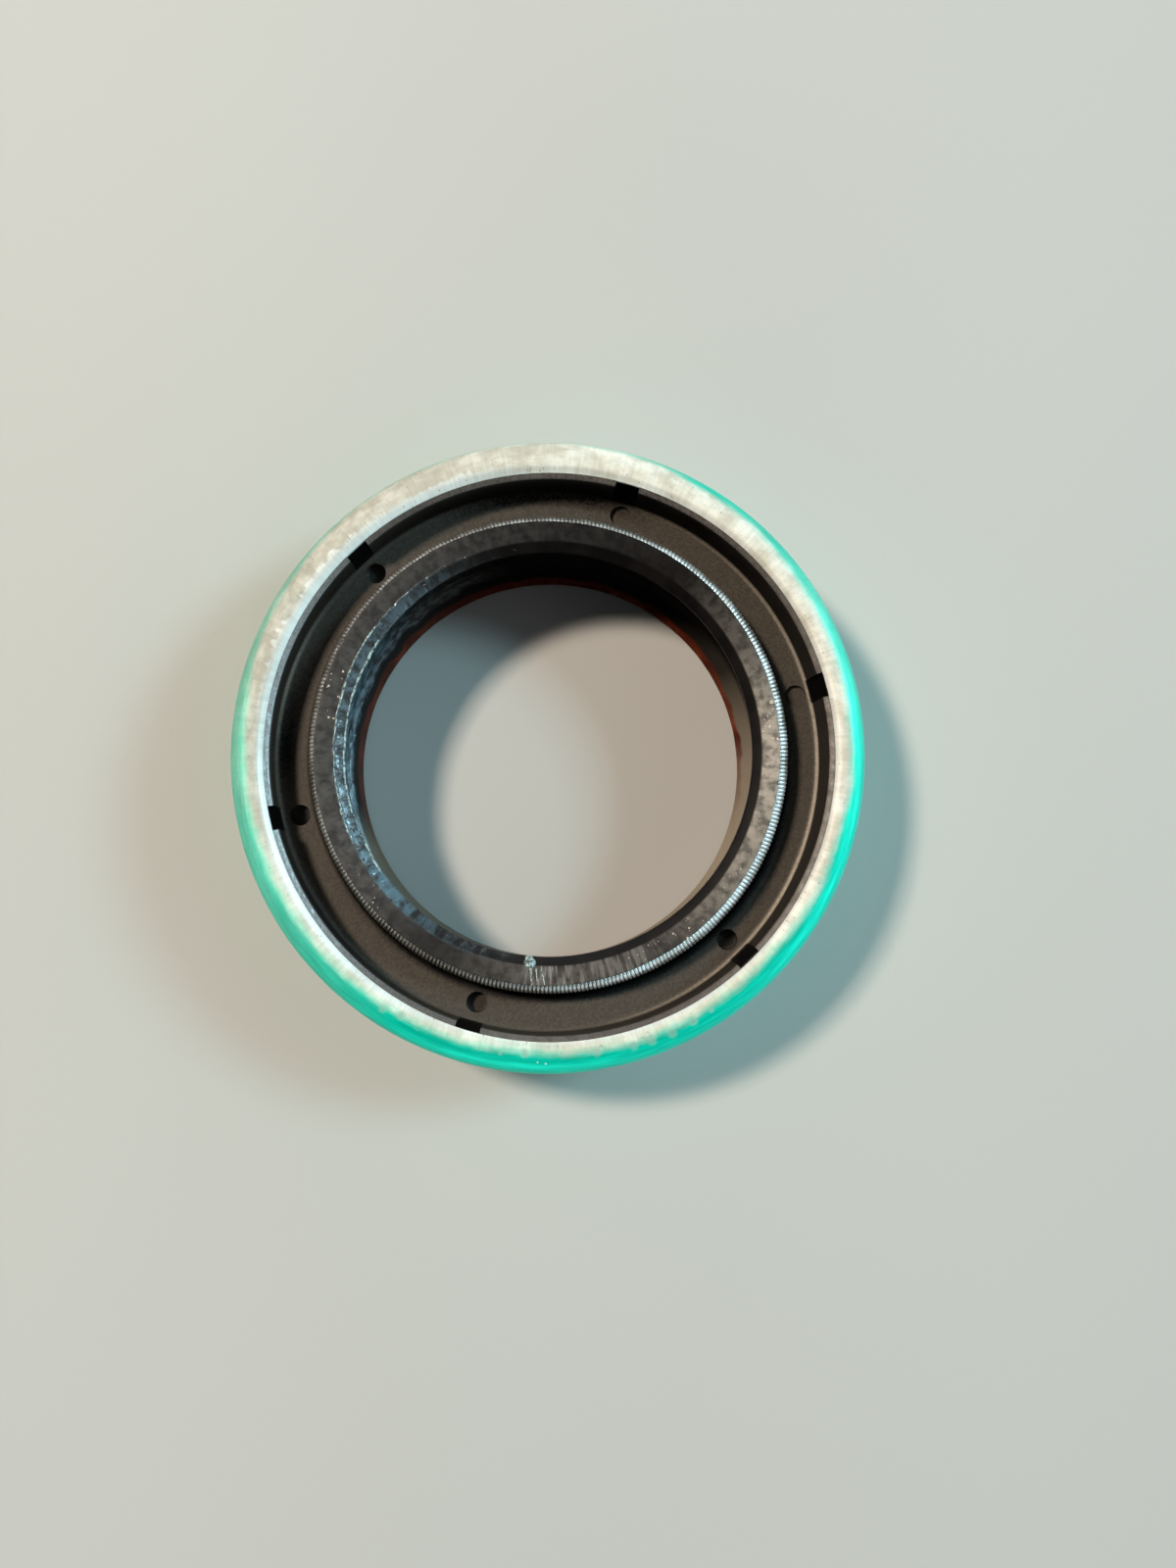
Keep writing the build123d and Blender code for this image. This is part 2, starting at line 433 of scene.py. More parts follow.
# %% [markdown]
# A lug starts as a block as tall as the cut edge of the rim. Its underside is drawn down to
# the foot, and the outer edge of the foot is moved in, so that the outer side leans as it
# must to draw out of the rubber. The block is wide enough to take the whole skin away.

# %% Shape a lug
lug_lean = rim_cut_r - lug_foot_r
lug_width = lug_lean + 0.4
lug_height = seal_width - rim_cut_z
deselect_everything()
bpy.ops.mesh.primitive_cube_add(
    size=1, scale=Vector((lug_width, notch_length, lug_height)) * MM,
    location=Vector((rim_cut_r - lug_width / 2, 0, rim_cut_z + lug_height / 2)) * MM,
)
lug = bpy.context.object
bpy.ops.object.transform_apply(location=True, scale=True)
bpy.ops.object.mode_set(mode="EDIT")
bpy.ops.mesh.select_mode(type="FACE")
select_edges(lug, lambda r, z: z < rim_cut_z + 0.1)
to_foot = (0, 0, (notch_foot_z - rim_cut_z) * MM)
bpy.ops.mesh.extrude_region_move(TRANSFORM_OT_translate={"value": to_foot})
bpy.ops.mesh.select_mode(type="EDGE")
select_edges(lug, lambda r, z: z < notch_foot_z + 0.1 and r > rim_cut_r - 0.1)
bpy.ops.transform.translate(value=(-lug_lean * MM, 0, 0))
bpy.ops.object.mode_set(mode="OBJECT")

# %% [markdown]
# A pin is a short rod with a rounded end. Lug and pin are each shaped once and copied round
# the axis, and all of the copies are taken out with one Boolean modifier.

# %% Shape a pin, and cut the notches and the dimples
pin_length = 2.0
pin_end_round = 0.12
deselect_everything()
bpy.ops.mesh.primitive_cylinder_add(
    vertices=48, radius=dimple_diameter / 2 * MM, depth=pin_length * MM,
    location=(dimple_circle_r * MM, 0, (floor_z + pin_length / 2) * MM),
)
pin = bpy.context.object
bpy.ops.object.transform_apply(location=True)
bpy.ops.object.mode_set(mode="EDIT")
select_edges(pin, lambda r, z: z < floor_z + 0.1)
bpy.ops.mesh.bevel(offset=pin_end_round * MM, segments=4, affect="EDGES")
bpy.ops.object.mode_set(mode="OBJECT")

cutters = []
for step, pin_depth in enumerate(pin_depths):
    turn = Matrix.Rotation(math.radians(mark_angle) + step * math.tau / mark_count, 4, "Z")
    sink = Matrix.Translation((0, 0, -pin_depth * MM))
    cutters += [copy_of(lug, turn), copy_of(pin, turn @ sink)]
bpy.data.objects.remove(lug)
bpy.data.objects.remove(pin)
cut_away(sealing_rubber, join(cutters, "lugs_and_pins"))
shade(sealing_rubber)

# %% [markdown]
# ## Garter spring
# The spring is a close-wound coil of fine wire, bent into a ring and hooked into itself.
# One could write out its helix point by point, but a wire maker's way is simpler: a round
# section is wound into a straight coil by a Screw modifier, one turn per wire thickness,
# with next to no gap between the turns.

# %% Wind the spring
spring_turns = 373
wire_share = 0.985  # of the pitch; the rest is the gap between two turns
coil_length = math.tau * spring_r
wire_diameter = coil_length / spring_turns * wire_share
coil_mean_r = (coil_diameter - wire_diameter) / 2
steps_per_turn = 18

deselect_everything()
bpy.ops.mesh.primitive_circle_add(
    vertices=8, radius=wire_diameter / 2 * MM, location=(0, coil_mean_r * MM, 0)
)
spring_coil = bpy.context.object
spring_coil.name = "spring_coil"
bpy.ops.object.transform_apply(location=True, rotation=True)
wind = spring_coil.modifiers.new("wind", "SCREW")
wind.axis = "X"
wind.angle = math.tau
wind.screw_offset = coil_length / spring_turns * MM
wind.iterations = spring_turns
wind.steps = steps_per_turn
wind.render_steps = steps_per_turn
bpy.ops.object.modifier_apply(modifier=wind.name)
mesh_length = spring_coil.dimensions.x / MM
print(f"coil: {len(spring_coil.data.polygons)} faces, {mesh_length:.2f} mm long, {wire_diameter:.3f} mm wire")

# %% [markdown]
# A Simple Deform bend closes the coil into a ring of its own length. The bend turns the
# whole length of the mesh, which is one wire longer than the coil's own axis, so its angle
# is a little over a full turn and the two ends land on each other. They are then welded, by
# a distance that is smaller than the gap between the turns, or the turns would weld too.

# %% Bend the coil into a ring
weld_distance = 0.003
bend = spring_coil.modifiers.new("bend", "SIMPLE_DEFORM")
bend.deform_method = "BEND"
bend.deform_axis = "Z"
bend.angle = math.tau * mesh_length / coil_length
bpy.ops.object.modifier_apply(modifier=bend.name)
low = Vector(spring_coil.bound_box[0])
high = Vector(spring_coil.bound_box[6])
print("ring box, mm:", [round(v / MM, 2) for v in (*low, *high)])
spring_coil.data.transform(Matrix.Translation(spring_middle - (low + high) / 2))
bpy.ops.object.mode_set(mode="EDIT")
bpy.ops.mesh.select_all(action="SELECT")
bpy.ops.mesh.remove_doubles(threshold=weld_distance * MM)
bpy.ops.mesh.normals_make_consistent(inside=False)
bpy.ops.mesh.select_all(action="DESELECT")
bpy.ops.mesh.select_non_manifold()
open_points = sum(corner.select for corner in bmesh.from_edit_mesh(spring_coil.data).verts)
bpy.ops.object.mode_set(mode="OBJECT")
print("open points left in the spring:", open_points)
bpy.ops.object.shade_smooth()

# %% [markdown]
# ## Oil and grease
# This seal has run on a shaft. Oil still wets its lip on one side in fine beads, one drop
# hangs on the lip's edge with streaks behind it, and a few crumbs of grease have dried on.
# They are real little solids: a ball is roughened by a Displace modifier, flattened,
# and laid on the lip's surface, half sunk in. Where it lies is given by how far it is in
# from the spring's side along the lip's section, and by its azimuth.

# %% Helpers for what lies on the lip
face_start_r = lip_face_outer_r - edge_round
lip_profile = [
    (face_start_r, lip_face_outer_z), (lip_face_inner_r, lip_face_inner_z),
    (sealing_r, band_top_z), (sealing_r, band_bottom_z), (stem_inner_r, air_cone_end_z),
]
laid_crease = 80  # degrees
spin_per_degree = 37


def on_the_lip(run, azimuth):
    """Matrix that puts the Z axis out of the lip's surface, `run` mm in from the spring's side."""
    for (from_r, from_z), (to_r, to_z) in zip(lip_profile, lip_profile[1:]):
        step = math.dist((from_r, from_z), (to_r, to_z))
        if run <= step:
            break
        run -= step
    share = run / step
    r = from_r + (to_r - from_r) * share
    z = from_z + (to_z - from_z) * share
    lean = Matrix.Rotation(math.atan2(to_z - from_z, from_r - to_r), 4, "Y")
    turn = Matrix.Rotation(math.radians(azimuth), 4, "Z")
    return turn @ Matrix.Translation(Vector((r, 0, z)) * MM) @ lean


def rough_ball(name, roughness, grain, subdivisions=3):
    """A ball of 1 mm radius whose surface is pushed in and out by clouds."""
    deselect_everything()
    bpy.ops.mesh.primitive_ico_sphere_add(subdivisions=subdivisions, radius=MM)
    ball = bpy.context.object
    ball.name = name
    clouds = bpy.data.textures.new(name, "CLOUDS")
    clouds.noise_scale = grain * MM
    push = ball.modifiers.new("push", "DISPLACE")
    push.texture = clouds
    push.strength = roughness * MM
    bpy.ops.object.modifier_apply(modifier=push.name)
    return ball


def lay(ball, places, name):
    """Copies of the ball laid on the lip. A place is (run, azimuth, across, along, height), in mm and degrees.

    A ball that is as long as it is wide is also spun about its own axis, so that no two look the same.
    """
    laid = []
    for run, azimuth, across, along, height in places:
        size = Matrix.Diagonal((across, along, height, 1))
        spin = Matrix.Rotation(math.radians(azimuth * spin_per_degree), 4, "Z") if across == along else Matrix()
        laid.append(copy_of(ball, on_the_lip(run, azimuth) @ size @ spin))
    bpy.data.objects.remove(ball)
    laid = join(laid, name)
    shade(laid, laid_crease)
    print(f"{name}: {len(places)} laid, {len(laid.data.polygons)} faces")
    return laid


# %% [markdown]
# The beads gather on the wet side, on the cone inside the lip's face, and most of them are
# very small.

# %% Lay beads on the lip
bead_count = 220
wet_middle, wet_spread = 176, 28  # azimuth in degrees
dice = random.Random(7)
face_run = face_start_r - lip_face_inner_r
bead_places = []
for _ in range(bead_count):
    azimuth = wet_middle + dice.gauss(0, wet_spread)
    run = face_run - 0.05 + dice.random() * 0.9
    size = 0.02 + 0.07 * dice.random() ** 4
    bead_places.append((run, azimuth, size, size * (1 + 1.5 * dice.random()), size * 0.35))
oil_beads = lay(rough_ball("oil_bead", 0.5, 0.7, 2), bead_places, "oil_beads")

# %% [markdown]
# On its wet side the oil has run together along the two edges of that cone, into a broken
# line of flat, drawn-out beads. An edge is given by its run, the azimuths between which the
# oil stands on it, and the half width of the line.

# %% Run the oil together along both edges of the cone
cone_run = math.dist(lip_profile[1], lip_profile[2])
oil_line_height = 0.04
film_places = []
for run, first, last, width in [
    (face_run + 0.02, 146, 204, 0.07),
    (face_run + cone_run - 0.02, 150, 214, 0.09),
]:
    azimuth = first
    while azimuth < last:
        length = dice.uniform(0.45, 1.0)
        film_places.append((run + dice.uniform(-0.05, 0.05), azimuth, width * dice.uniform(0.5, 1.1),
                            length, oil_line_height))
        azimuth += math.degrees(length / lip_face_inner_r) * dice.uniform(0.9, 1.7)
oil_edge = lay(rough_ball("film", 0.4, 0.5), film_places, "oil_edge")

# %% [markdown]
# The drop hangs on the inner edge of the face, and ran there across it, which left three
# thin streaks. A streak is a row of small beads that overlap and taper off towards the
# spring. It is given by its azimuth and how many degrees it drifts, by its run from the
# face's inner edge, and by its length and half width.

# %% Hang the drop and its streaks
streak_steps = 14
bead_in_streak = 0.12
taper = 0.6
drop_places = [(face_run + 0.33, 264.9, 0.42, 0.42, 0.2), (face_run + 0.68, 264.6, 0.26, 0.3, 0.15)]
for azimuth, drift, run, length, width in [
    (265.3, 0.5, 0.0, 1.15, 0.09),
    (266.7, 0.4, -0.15, 0.7, 0.035),
    (268.0, 1.0, -0.1, 1.0, 0.035),
]:
    for step in range(streak_steps):
        drawn = step / (streak_steps - 1)
        narrow = width * (1 - taper * drawn)
        drop_places.append((face_run + run - length * drawn, azimuth + drift * drawn,
                            bead_in_streak, narrow, narrow / 2))
hanging_drop = lay(rough_ball("drop", 0.14, 0.9), drop_places, "hanging_drop")

# %% [markdown]
# The crumbs lie on the face in clusters. A cluster is given by its azimuth and spread in
# degrees, its number of crumbs and the size of the largest one in mm.

# %% Scatter the crumbs
clusters = [(8, 4.5, 16, 0.14), (-34, 3, 5, 0.07), (-52, 5, 8, 0.09), (-60, 3, 4, 0.06), (297, 5, 6, 0.06),
            (323, 4, 5, 0.06), (162, 4, 7, 0.1), (171, 1.5, 3, 0.13), (220, 8, 8, 0.06)]
crumb_places = []
for middle, spread, count, largest in clusters:
    for _ in range(count):
        size = largest * (0.35 + 0.65 * dice.random() ** 2)
        crumb_places.append((dice.uniform(0.05, face_run), middle + dice.gauss(0, spread / 2),
                             size * dice.uniform(0.7, 1.5), size, size * 0.5))
dried_grease = lay(rough_ball("crumb", 0.9, 0.5), crumb_places, "dried_grease")

# %% [markdown]
# ## Materials
# Each material is a small tree of nodes. Wear, paint, and painted light and shade on a turned
# part follow its radius and its azimuth, so every tree starts by working out where a point is
# on the ring, in millimetres. The rest is layers: a ground colour, and colours laid over it
# where some masks agree. A mask is written as plain numbers, so that the trees stay readable.

# %% Helpers for materials
smoothly = {"interpolation_type": "SMOOTHSTEP"}


def linear(hex_colour):
    """An sRGB hex colour as the linear RGBA that Blender's sockets take."""
    channels = [int(hex_colour[i : i + 2], 16) / 255 for i in (1, 3, 5)]
    return (*((c / 12.92 if c <= 0.04045 else ((c + 0.055) / 1.055) ** 2.4) for c in channels), 1)


def link(source, socket):
    """Links a node's first live output, or one given output, to a socket."""
    if isinstance(source, bpy.types.Node):
        source = next(output for output in source.outputs if output.enabled)
    socket.id_data.links.new(source, socket)


def add_node(tree, kind, *inputs, **settings):
    """Adds a node. Inputs go to its live sockets in order, settings to properties or sockets by name.

    An input is a number, a hex colour, a node or a node's output; stops are those of a ramp.
    """
    node = tree.nodes.new("ShaderNode" + kind)
    stops = settings.pop("stops", [])
    ends = {0: 0, len(stops) - 1: -1}
    for count, (place, strength) in enumerate(stops):
        ramp = node.color_ramp.elements
        stop = ramp[ends[count]] if count in ends else ramp.new(place)
        stop.position = place
        stop.color = (strength, strength, strength, 1)
    for name in [name for name in settings if hasattr(node, name)]:
        setattr(node, name, settings.pop(name))
    live = [socket for socket in node.inputs if socket.enabled]
    by_name = [(next(socket for socket in live if socket.name == name), value) for name, value in settings.items()]
    for socket, value in [*zip(live, inputs), *by_name]:
        if hasattr(value, "id_data"):
            link(value, socket)
        else:
            socket.default_value = linear(value) if isinstance(value, str) else value
    return node


def new_finish(name, rough=0.5, metallic=0.0):
    """A new material, its tree and its shader."""
    finish = bpy.data.materials.new(name)
    finish.use_nodes = True
    shader = finish.node_tree.nodes["Principled BSDF"]
    shader.inputs["Roughness"].default_value = rough
    shader.inputs["Metallic"].default_value = metallic
    return finish, finish.node_tree, shader


def ring_place(tree):
    """Where a point is, in mm: its place, radius, height, run from the axis over the bend, direction, azimuth."""
    metres = add_node(tree, "TexCoord").outputs["Object"]
    place = add_node(tree, "VectorMath", metres, operation="SCALE", Scale=1 / MM)
    split = add_node(tree, "SeparateXYZ", place).outputs
    height = split["Z"]
    across = add_node(tree, "VectorMath", place, (1, 1, 0), operation="MULTIPLY")
    radius = add_node(tree, "VectorMath", across, operation="LENGTH")
    direction = add_node(tree, "VectorMath", across, operation="NORMALIZE")
    angle = add_node(tree, "Math", split["Y"], split["X"], operation="ARCTAN2")
    turns = add_node(tree, "Math", angle, 1 / math.tau, 1.0, operation="MULTIPLY_ADD")
    azimuth = add_node(tree, "Math", turns, operation="FRACT")
    from_top = add_node(tree, "Math", seal_width, height, operation="SUBTRACT")
    depth = add_node(tree, "Math", from_top, height, operation="MINIMUM")
    run = add_node(tree, "Math", radius, depth, operation="ADD")
    return {"tree": tree, "place": place, "radius": radius, "height": height, "run": run,
            "direction": direction, "azimuth": azimuth}


def ring_noise(where, around, along, detail=2.0, base_r=20.0):
    """Noise with grains `around` mm long round the ring and `along` mm long across it."""
    tree = where["tree"]
    circle = add_node(tree, "VectorMath", where["direction"], operation="SCALE", Scale=base_r / around)
    run = add_node(tree, "Math", where["run"], along, operation="DIVIDE")
    shifted = add_node(tree, "VectorMath", circle, add_node(tree, "CombineXYZ", Z=run), operation="ADD")
    return add_node(tree, "TexNoise", shifted, Scale=1.0, Detail=detail, Roughness=0.55)


def all_of(where, *masks):
    """The masks multiplied together. A mask is written in one of three ways:

    a node; (value, start, end), which rises smoothly from 0 to 1 while the value goes from start
    to end, or from low to high if these follow; {azimuth in degrees: strength}, round the ring.
    """
    tree = where["tree"]
    product = None
    for mask in masks:
        if isinstance(mask, tuple):
            mask = add_node(tree, "MapRange", *mask, **smoothly)
        elif isinstance(mask, dict):
            stops = [(azimuth / 360, strength) for azimuth, strength in mask.items()]
            mask = add_node(tree, "ValToRGB", where["azimuth"], stops=[*stops, (1.0, stops[0][1])])
        product = mask if product is None else add_node(tree, "Math", product, mask, operation="MULTIPLY")
    return product


def lay_over(where, ground, colour, *masks):
    """Lays a colour over the ground where all of the masks say so."""
    return add_node(where["tree"], "Mix", all_of(where, *masks), ground, colour, data_type="RGBA")


def near_spots(where, spots, wobble):
    """One near small spots on the rim, each given by its azimuth in degrees, its radius and its size in mm."""
    tree = where["tree"]
    nearest = None
    for azimuth, r, size in spots:
        turn = math.radians(azimuth)
        middle = (r * math.cos(turn), r * math.sin(turn), seal_width - 0.1)
        distance = add_node(tree, "VectorMath", where["place"], middle, operation="DISTANCE")
        distance = add_node(tree, "Math", wobble, size * 0.5, distance, operation="MULTIPLY_ADD")
        near = all_of(where, (distance, size * 0.4, size * 1.35, 1.0, 0.0))
        nearest = near if nearest is None else add_node(tree, "Math", nearest, near, operation="MAXIMUM")
    return nearest


# %% [markdown]
# ### Steel with a sealing lacquer: where the lacquer lies
# The case is cold-rolled strip steel, and its outside is brushed with a turquoise sealing
# lacquer that fills scratches in the bore. The lacquer ends on the rim in a soft, uneven
# edge, thick on one side and missing where the rim was wiped. So one material holds both,
# and the mask between them reads the run over the bend against an edge that wanders with
# the azimuth. Grey stains show through the thin edge, and small white specks on it are
# painted glints.

# %% Spread the lacquer
case_finish, tree, shader = new_finish("cold_rolled_steel_with_sealing_lacquer")
shader.inputs["Specular IOR Level"].default_value = 0.1
where = ring_place(tree)

# by azimuth in degrees: the run in mm where the lacquer is half as dense as it gets, and how dense it gets
lacquer_edge = {0: 21.3, 30: 21.45, 60: 21.95, 75: 22.6, 95: 22.95, 130: 22.8, 150: 22.0,
                180: 21.15, 210: 20.92, 240: 20.9, 270: 20.87, 300: 20.93, 330: 20.98}
lacquer_film = {0: 0.97, 30: 0.82, 60: 0.95, 76: 0.6, 90: 0.12, 112: 0.5, 140: 0.5, 150: 0.4,
                180: 0.62, 210: 0.86, 240: 1, 340: 1}
# down the wall and under the case both are even
wall_edge = 22.1
wall_film = 0.95
edge_low = 20.0
edge_span = 5.0
edge_share = all_of(where, {azimuth: (run - edge_low) / edge_span for azimuth, run in lacquer_edge.items()})
top_edge = add_node(tree, "Math", edge_share, edge_span, edge_low, operation="MULTIPLY_ADD")
down_the_wall = all_of(where, (where["height"], seal_width - 1.2, seal_width - 2.6))
edge = add_node(tree, "Mix", down_the_wall, top_edge, wall_edge, data_type="FLOAT")
film = add_node(tree, "Mix", down_the_wall, all_of(where, lacquer_film), wall_film, data_type="FLOAT")

ragged = ring_noise(where, 0.9, 0.5, 4.0)
waves = ring_noise(where, 4.0, 3.0, 1.0)
past_edge = add_node(tree, "Math", where["run"], edge, operation="SUBTRACT")
for noise, reach in [(ragged, 0.5), (waves, 0.7)]:
    wandering = add_node(tree, "Math", noise, reach, -reach / 2, operation="MULTIPLY_ADD")
    past_edge = add_node(tree, "Math", past_edge, wandering, operation="ADD")
coverage = all_of(where, (past_edge, -0.5, 0.5), film)

stains = [(237.5, 21.15, 0.3), (241, 20.9, 0.35), (261, 21.1, 0.2), (265.5, 20.95, 0.34), (279, 21.05, 0.36),
          (286, 21.2, 0.34), (289.5, 21.25, 0.36), (293.5, 21.3, 0.36), (298, 21.2, 0.34), (302, 21.1, 0.28)]
painted_glints_on_lacquer = [(266.5, 21.75, 0.05), (268, 21.5, 0.06), (269.5, 21.6, 0.08), (271, 21.8, 0.06), (283, 21.7, 0.04)]
ragged_by = add_node(tree, "Math", ragged, 0.5, operation="SUBTRACT")
stained = near_spots(where, stains, ragged_by)
coverage = all_of(where, coverage, (stained, 0.0, 1.0, 1.0, 0.6))
brush_marks = ring_noise(where, 2.5, 0.25, 3.0)
lacquer = lay_over(where, "#00b198", "#01c9ae", (brush_marks, 0.3, 0.7))
# white specks at a few spots on the lacquer: painted glints
lacquer = lay_over(where, lacquer, "#c9f4f0", near_spots(where, painted_glints_on_lacquer, ragged_by))

# %% [markdown]
# ### Steel with a sealing lacquer: the bare steel
# Drawn strip that is left bare is satin, with a warm grey reflection, faint cloudy marks
# and rub lines. On one side it is painted darker, in clouds: painted shade. The roll of the
# rim's edge is burnished, and carries a painted bluish-white reflection, brighter on some
# sides and ending in radial strokes. Its grain of 0.12 mm is rolled in, and the waves of
# the press are a few millimetres long.

# %% Finish the steel
clouds = ring_noise(where, 3.5, 2.0, 3.0)
rub_lines = ring_noise(where, 0.22, 4.0, 2.0)
grain = ring_noise(where, 0.12, 0.12, 2.0)
mottling = add_node(tree, "Mix", 0.5, clouds, ring_noise(where, 1.1, 0.9, 4.0), data_type="FLOAT")
bare = lay_over(where, "#bdb8aa", "#dbd9cf", (mottling, 0.38, 0.62))
# darker in clouds on the side towards the key light: painted shade
bare = lay_over(where, bare, "#9f9c91", (mottling, 0.4, 0.6, 1.0, 0.6),
                {0: 0, 80: 0, 95: 0.35, 120: 0.7, 150: 1, 180: 1, 208: 0.3, 225: 0})

stroke_noise = add_node(tree, "Mix", 0.5, ring_noise(where, 0.5, 3.5, 2.0), ring_noise(where, 2.0, 3.5, 1.0),
                        data_type="FLOAT")
strokes = all_of(where, (stroke_noise, 0.38, 0.64),
                 {0: 0, 92: 0, 104: 0.7, 125: 0.6, 145: 1, 160: 0.9, 176: 0.2, 190: 0})
past_roll = add_node(tree, "Math", strokes, -0.6, where["radius"], operation="MULTIPLY_ADD")
on_roll = all_of(where, (past_roll, roll_top_r - 0.14, roll_top_r + 0.2, 1.0, 0.0))
# the bluish white on the roll, brighter on some sides and ending in radial strokes, is a painted reflection
bare = lay_over(where, bare, "#e4ebeb", on_roll, {
    0: 0.5, 30: 0, 90: 0, 110: 0.5, 150: 0.45, 180: 0.2, 210: 0.7, 240: 0.4, 265: 0, 300: 0.7, 330: 0.3})
bare = lay_over(where, bare, "#a5aba0", stained)
lines = all_of(where, (rub_lines, 0.36, 0.62, 0.92, 1.0))
bare = add_node(tree, "Mix", 1.0, bare, lines, data_type="RGBA", blend_type="MULTIPLY")
bare = lay_over(where, bare, "#6c6054", (grain, 0.68, 0.74))
link(lay_over(where, bare, lacquer, coverage), shader.inputs["Base Color"])

# the lacquer lets some of the metal's shine through, so both are partly metallic
link(add_node(tree, "Math", coverage, 0.1, 0.3, operation="MULTIPLY_ADD"), shader.inputs["Metallic"])
roll_roughness = 0.42
lacquer_roughness = 0.43
steel_rough = all_of(where, (clouds, 0.3, 0.7, 0.6, 0.72))
steel_rough = add_node(tree, "Mix", on_roll, steel_rough, roll_roughness, data_type="FLOAT")
rough = add_node(tree, "Mix", coverage, steel_rough, lacquer_roughness, data_type="FLOAT")
link(rough, shader.inputs["Roughness"])

grain_bump = add_node(tree, "Bump", Strength=0.5, Distance=0.012 * MM, Height=grain)
wave_bump = add_node(tree, "Bump", Strength=1.0, Distance=0.05 * MM, Height=clouds, Normal=grain_bump)
film_bump = add_node(tree, "Bump", Strength=1.0, Distance=0.02 * MM, Height=brush_marks, Normal=wave_bump)
link(film_bump, shader.inputs["Normal"])
print(case_finish.name, "has", len(tree.nodes), "nodes")

# %% [markdown]
# ### Moulded nitrile rubber: dust, painted light and painted shade on the floor and the wall
# The element is black nitrile rubber, moulded at once onto the case: nearly black, with a
# dull sheen from carbon black. Even dust greys the floor and the wall round it. On the floor
# it is thinned into painted shadows under the rim on two sides and next to the moat, and into
# painted shade in the deeper dimples. On the wall the dust goes by the azimuth, as painted
# light and shade, and a light line along the corner between them is a painted highlight.

# %% Dust the floor and the wall, and paint light and shade on them
rubber_finish, tree, shader = new_finish("moulded_nitrile_rubber")
shader.inputs["Coat Roughness"].default_value = 0.22
shader.inputs["Coat IOR"].default_value = 1.65
where = ring_place(tree)
height, radius = where["height"], where["radius"]
shine = all_of(where, {0: 0.11, 25: 0.06, 50: 0.02, 105: 0.02, 130: 0.16, 330: 0.16})
link(shine, shader.inputs["Specular IOR Level"])

mottle = add_node(tree, "TexNoise", where["place"], Scale=0.55, Detail=4.0)
dust_grain = add_node(tree, "TexNoise", where["place"], Scale=6.0, Detail=3.0)
# the rubber's colour: dust, stains and painted light and shade laid over black
dust_and_painted_light = lay_over(where, "#0a0808", "#120f0e", (mottle, 0.35, 0.65))

on_outer_part = all_of(where, (radius, moat_outer_r, moat_outer_r + 0.2))
on_wall = all_of(where, (height, floor_z + 0.1, floor_z + 0.3))
even_dust = all_of(where, (dust_grain, 0.25, 0.75, 0.45, 0.75))
# thinner dust next to the moat, mostly on one side: painted shadow of the lip
painted_lip_shadow = all_of(where, (radius, moat_outer_r + 0.1, moat_outer_r + 0.75, 1.0, 0.0),
               {0: 0.3, 40: 0, 205: 0, 235: 0.6, 260: 0.9, 300: 0.9, 330: 1})
# thinner dust near the wall on two sides: painted shadow
painted_rim_shadow = all_of(where, (radius, 18.1, 18.9),
                   {0: 0, 64: 0, 80: 0.45, 100: 0.5, 118: 0, 160: 0, 180: 0.6, 190: 0})
floor_dust_and_shadow = add_node(tree, "Math", even_dust, painted_lip_shadow, operation="SUBTRACT")
floor_dust_and_shadow = add_node(tree, "Math", floor_dust_and_shadow, painted_rim_shadow, operation="SUBTRACT")
# less dust in the deeper dimples: painted shade
floor_dust_and_shadow = all_of(where, floor_dust_and_shadow, (height, floor_z - 0.55, floor_z - 0.45, 0.45, 1.0))
dust_and_painted_light = lay_over(where, dust_and_painted_light, "#564f47", on_outer_part, floor_dust_and_shadow,
                 (height, floor_z + 0.1, floor_z + 0.3, 1.0, 0.0))
# dust on the wall that goes by the azimuth: dust with painted light and shade
dust_and_painted_light = lay_over(where, dust_and_painted_light, "#564f47", on_outer_part, even_dust, on_wall, {
    0: 0.3, 30: 0.1, 60: 0, 150: 0.3, 180: 0.6, 205: 0.25, 222: 0.25, 240: 0.6, 270: 0.62, 300: 0.33, 330: 0.22})
# a light line along the foot of the wall: painted highlight
painted_corner_highlight = all_of(where, (height, floor_z + 0.02, floor_z + 0.12),
                   (height, floor_z + 0.3, floor_z + 0.45, 1.0, 0.0),
                   (radius, moat_outer_r + 1.0, moat_outer_r + 1.1))
dust_and_painted_light = lay_over(where, dust_and_painted_light, "#c0b3a1", painted_corner_highlight, even_dust, {
    0: 1, 25: 0.6, 70: 0, 145: 0, 165: 0.5, 190: 0.2, 215: 0, 280: 0.1, 305: 0.6, 330: 1})

# %% [markdown]
# ### Moulded nitrile rubber: smudges on the lip and the skin, painted light and shade
# The face of the lip is smudged all round, covered with dust on its dry side, and smeared
# where the drop hangs. The skin on the rim's edge is greyed by dust and by handling, and on
# one side it carries a painted bluish reflection. The notches are painted near black:
# painted shade deep in them.

